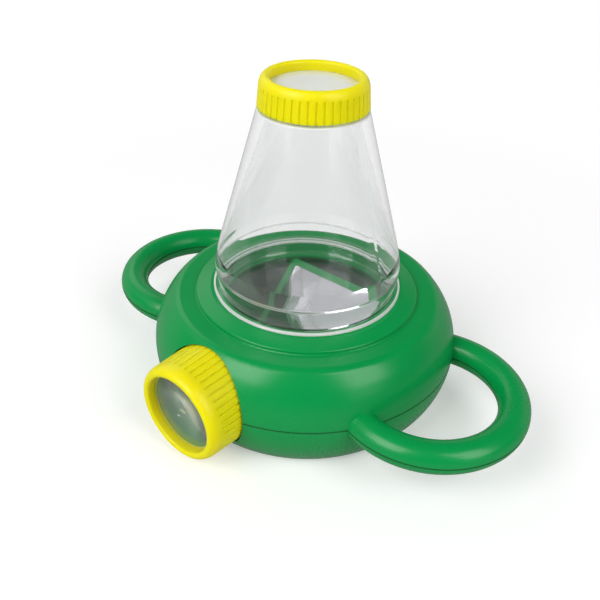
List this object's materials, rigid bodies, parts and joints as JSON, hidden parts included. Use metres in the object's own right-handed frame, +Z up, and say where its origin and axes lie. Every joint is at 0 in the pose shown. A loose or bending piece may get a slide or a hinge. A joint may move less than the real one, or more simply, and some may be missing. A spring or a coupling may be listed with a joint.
{
  "type": "bug catcher jar",
  "caption": "Clear conical bug jar with a focusing lens on top, standing on a round base with loop handles, a clear floor, a slanted mirror and a second focusing lens in the base's side.",
  "frame": {"origin": "on the jar's axis, on the surface that the base stands on", "axes": "+Z up along the jar's axis, X along the two handles, -Y the way the side lens looks out"},
  "size_m": [0.2394, 0.1615, 0.1567],
  "materials": {
    "green_plastic": "satin moulded",
    "yellow_plastic": "satin moulded",
    "clear_plastic": "clear polished",
    "lens_plastic": "clear polished",
    "retainer_plastic": "matt",
    "mirror_plate": "silvered",
    "screw_steel": "zinc plated"
  },
  "bodies": {
    "base": {"lower_housing": "green_plastic", "upper_housing": "green_plastic", "housing_screws": "screw_steel", "mirror_frame": "green_plastic", "mirror": "mirror_plate", "specimen_floor": "clear_plastic", "side_tube": "green_plastic"},
    "jar": {"clear_jar": "clear_plastic"},
    "top_focus": {"top_lens": "lens_plastic", "top_lens_retainer": "retainer_plastic"},
    "top_turn": {"top_ring": "yellow_plastic"},
    "side_focus": {"side_lens": "lens_plastic", "side_lens_retainer": "retainer_plastic"},
    "side_turn": {"side_ring": "yellow_plastic"}
  },
  "joints": [
    {"name": "jar_lift", "type": "slide", "parent": "base", "child": "jar", "axis": [0, 0, 1], "range_m": [0, 0.04]},
    {"name": "top_focus_slide", "type": "slide", "parent": "jar", "child": "top_focus", "axis": [0, 0, 1], "range_m": [0, 0.0025]},
    {"name": "top_ring_turn", "type": "hinge", "parent": "top_focus", "child": "top_turn", "pos_m": [0, 0, 0.144], "axis": [0, 0, 1], "range_deg": [0, 360]},
    {"name": "side_focus_slide", "type": "slide", "parent": "base", "child": "side_focus", "axis": [0, -1, 0], "range_m": [0, 0.0025]},
    {"name": "side_ring_turn", "type": "hinge", "parent": "side_focus", "child": "side_turn", "pos_m": [0, -0.063, 0.0268], "axis": [0, -1, 0], "range_deg": [0, 360]}
  ],
  "couplings": [
    {"joint": "top_focus_slide", "follows": "top_ring_turn", "m_per_rad": 0.00039789},
    {"joint": "side_focus_slide", "follows": "side_ring_turn", "m_per_rad": 0.00039789}
  ]
}
